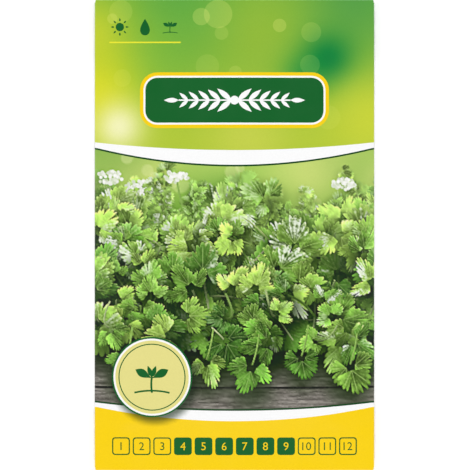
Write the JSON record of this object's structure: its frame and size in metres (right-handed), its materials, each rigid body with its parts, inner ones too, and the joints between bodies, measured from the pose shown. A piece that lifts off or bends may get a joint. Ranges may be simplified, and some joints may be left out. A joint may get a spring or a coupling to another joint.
{
  "type": "seed packet",
  "caption": "Filled paper seed packet lying on its back: one folded sheet with a glued back seam and glued end flaps, round coriander fruits loose inside.",
  "frame": {"origin": "on the surface that the packet lies on, under the middle of its outline", "axes": "+X across the packet to the right as the front is read, +Y up the front towards the top edge, +Z out of the printed front"},
  "size_m": [0.08, 0.135, 0.0055],
  "materials": {
    "paper": "coated printing paper, semi-gloss print outside, plain white inside",
    "glue": "dried paper glue",
    "fruit": "dry, ribbed, matt"
  },
  "bodies": {
    "root": {"packet_paper": "paper", "seam_glue": "glue", "bottom_flap_glue": "glue", "top_flap_glue": "glue", "coriander_fruits": "fruit"}
  },
  "joints": []
}
